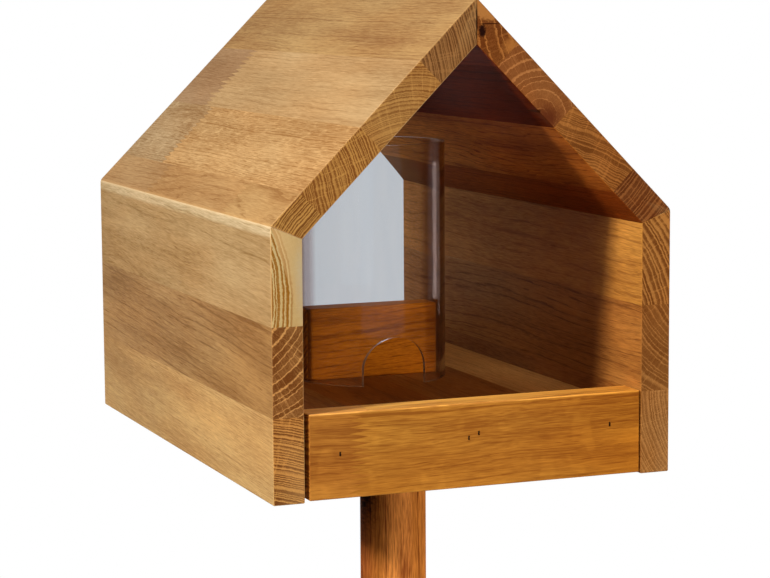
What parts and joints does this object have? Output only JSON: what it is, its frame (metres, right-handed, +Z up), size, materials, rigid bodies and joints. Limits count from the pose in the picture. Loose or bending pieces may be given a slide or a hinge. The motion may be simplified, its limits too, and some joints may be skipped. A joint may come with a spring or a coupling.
{
  "type": "bird feeder house on a post",
  "caption": "Open-ended oak bird feeder house with a pitched roof, a seed tray between lips, a clear seed silo with feed arches, and a round wooden post.",
  "frame": {"origin": "centre of the flat foot of the post, at ground level", "axes": "+Z up along the post; -Y towards the front of the house, where the brads show in the lip; +X to the right seen from the front"},
  "size_m": [0.252, 0.367, 1.285],
  "materials": {
    "oak_wall_mid": "oiled oak, mid brown, satin",
    "oak_wall_deep": "oiled oak, deeper brown, satin",
    "oak_sapwood": "oiled oak sapwood, pale, satin",
    "oak_roof_light": "oiled oak, light golden brown, satin",
    "oak_dark": "oiled oak, dark brown, satin",
    "oak_honey": "oiled oak, honey coloured, satin",
    "oak_post": "oiled oak, turned, satin",
    "beech_dowel": "plain beech, matt",
    "dark_steel": "dark brad heads, dull",
    "clear_acrylic": "clear cast acrylic, polished"
  },
  "bodies": {
    "root": {"left_wall_bottom_stave": "oak_wall_mid", "left_wall_middle_stave": "oak_wall_mid", "left_wall_top_stave": "oak_sapwood", "right_wall_bottom_stave": "oak_wall_mid", "right_wall_middle_stave": "oak_wall_deep", "right_wall_top_stave": "oak_wall_mid", "left_roof_ridge_stave": "oak_roof_light", "left_roof_upper_stave": "oak_roof_light", "left_roof_lower_stave": "oak_wall_mid", "left_roof_eave_stave": "oak_roof_light", "right_roof_ridge_stave": "oak_wall_mid", "right_roof_upper_stave": "oak_wall_deep", "right_roof_lower_stave": "oak_wall_mid", "right_roof_eave_stave": "oak_dark", "floor_stave_1": "oak_wall_deep", "floor_stave_2": "oak_wall_deep", "floor_stave_3": "oak_wall_deep", "floor_stave_4": "oak_wall_mid", "front_lip": "oak_honey", "rear_lip": "oak_honey", "front_brads": "dark_steel", "rear_brads": "dark_steel", "left_dowels": "beech_dowel", "right_dowels": "beech_dowel", "silo_block": "oak_honey", "silo_tube": "clear_acrylic", "post": "oak_post"}
  },
  "joints": []
}
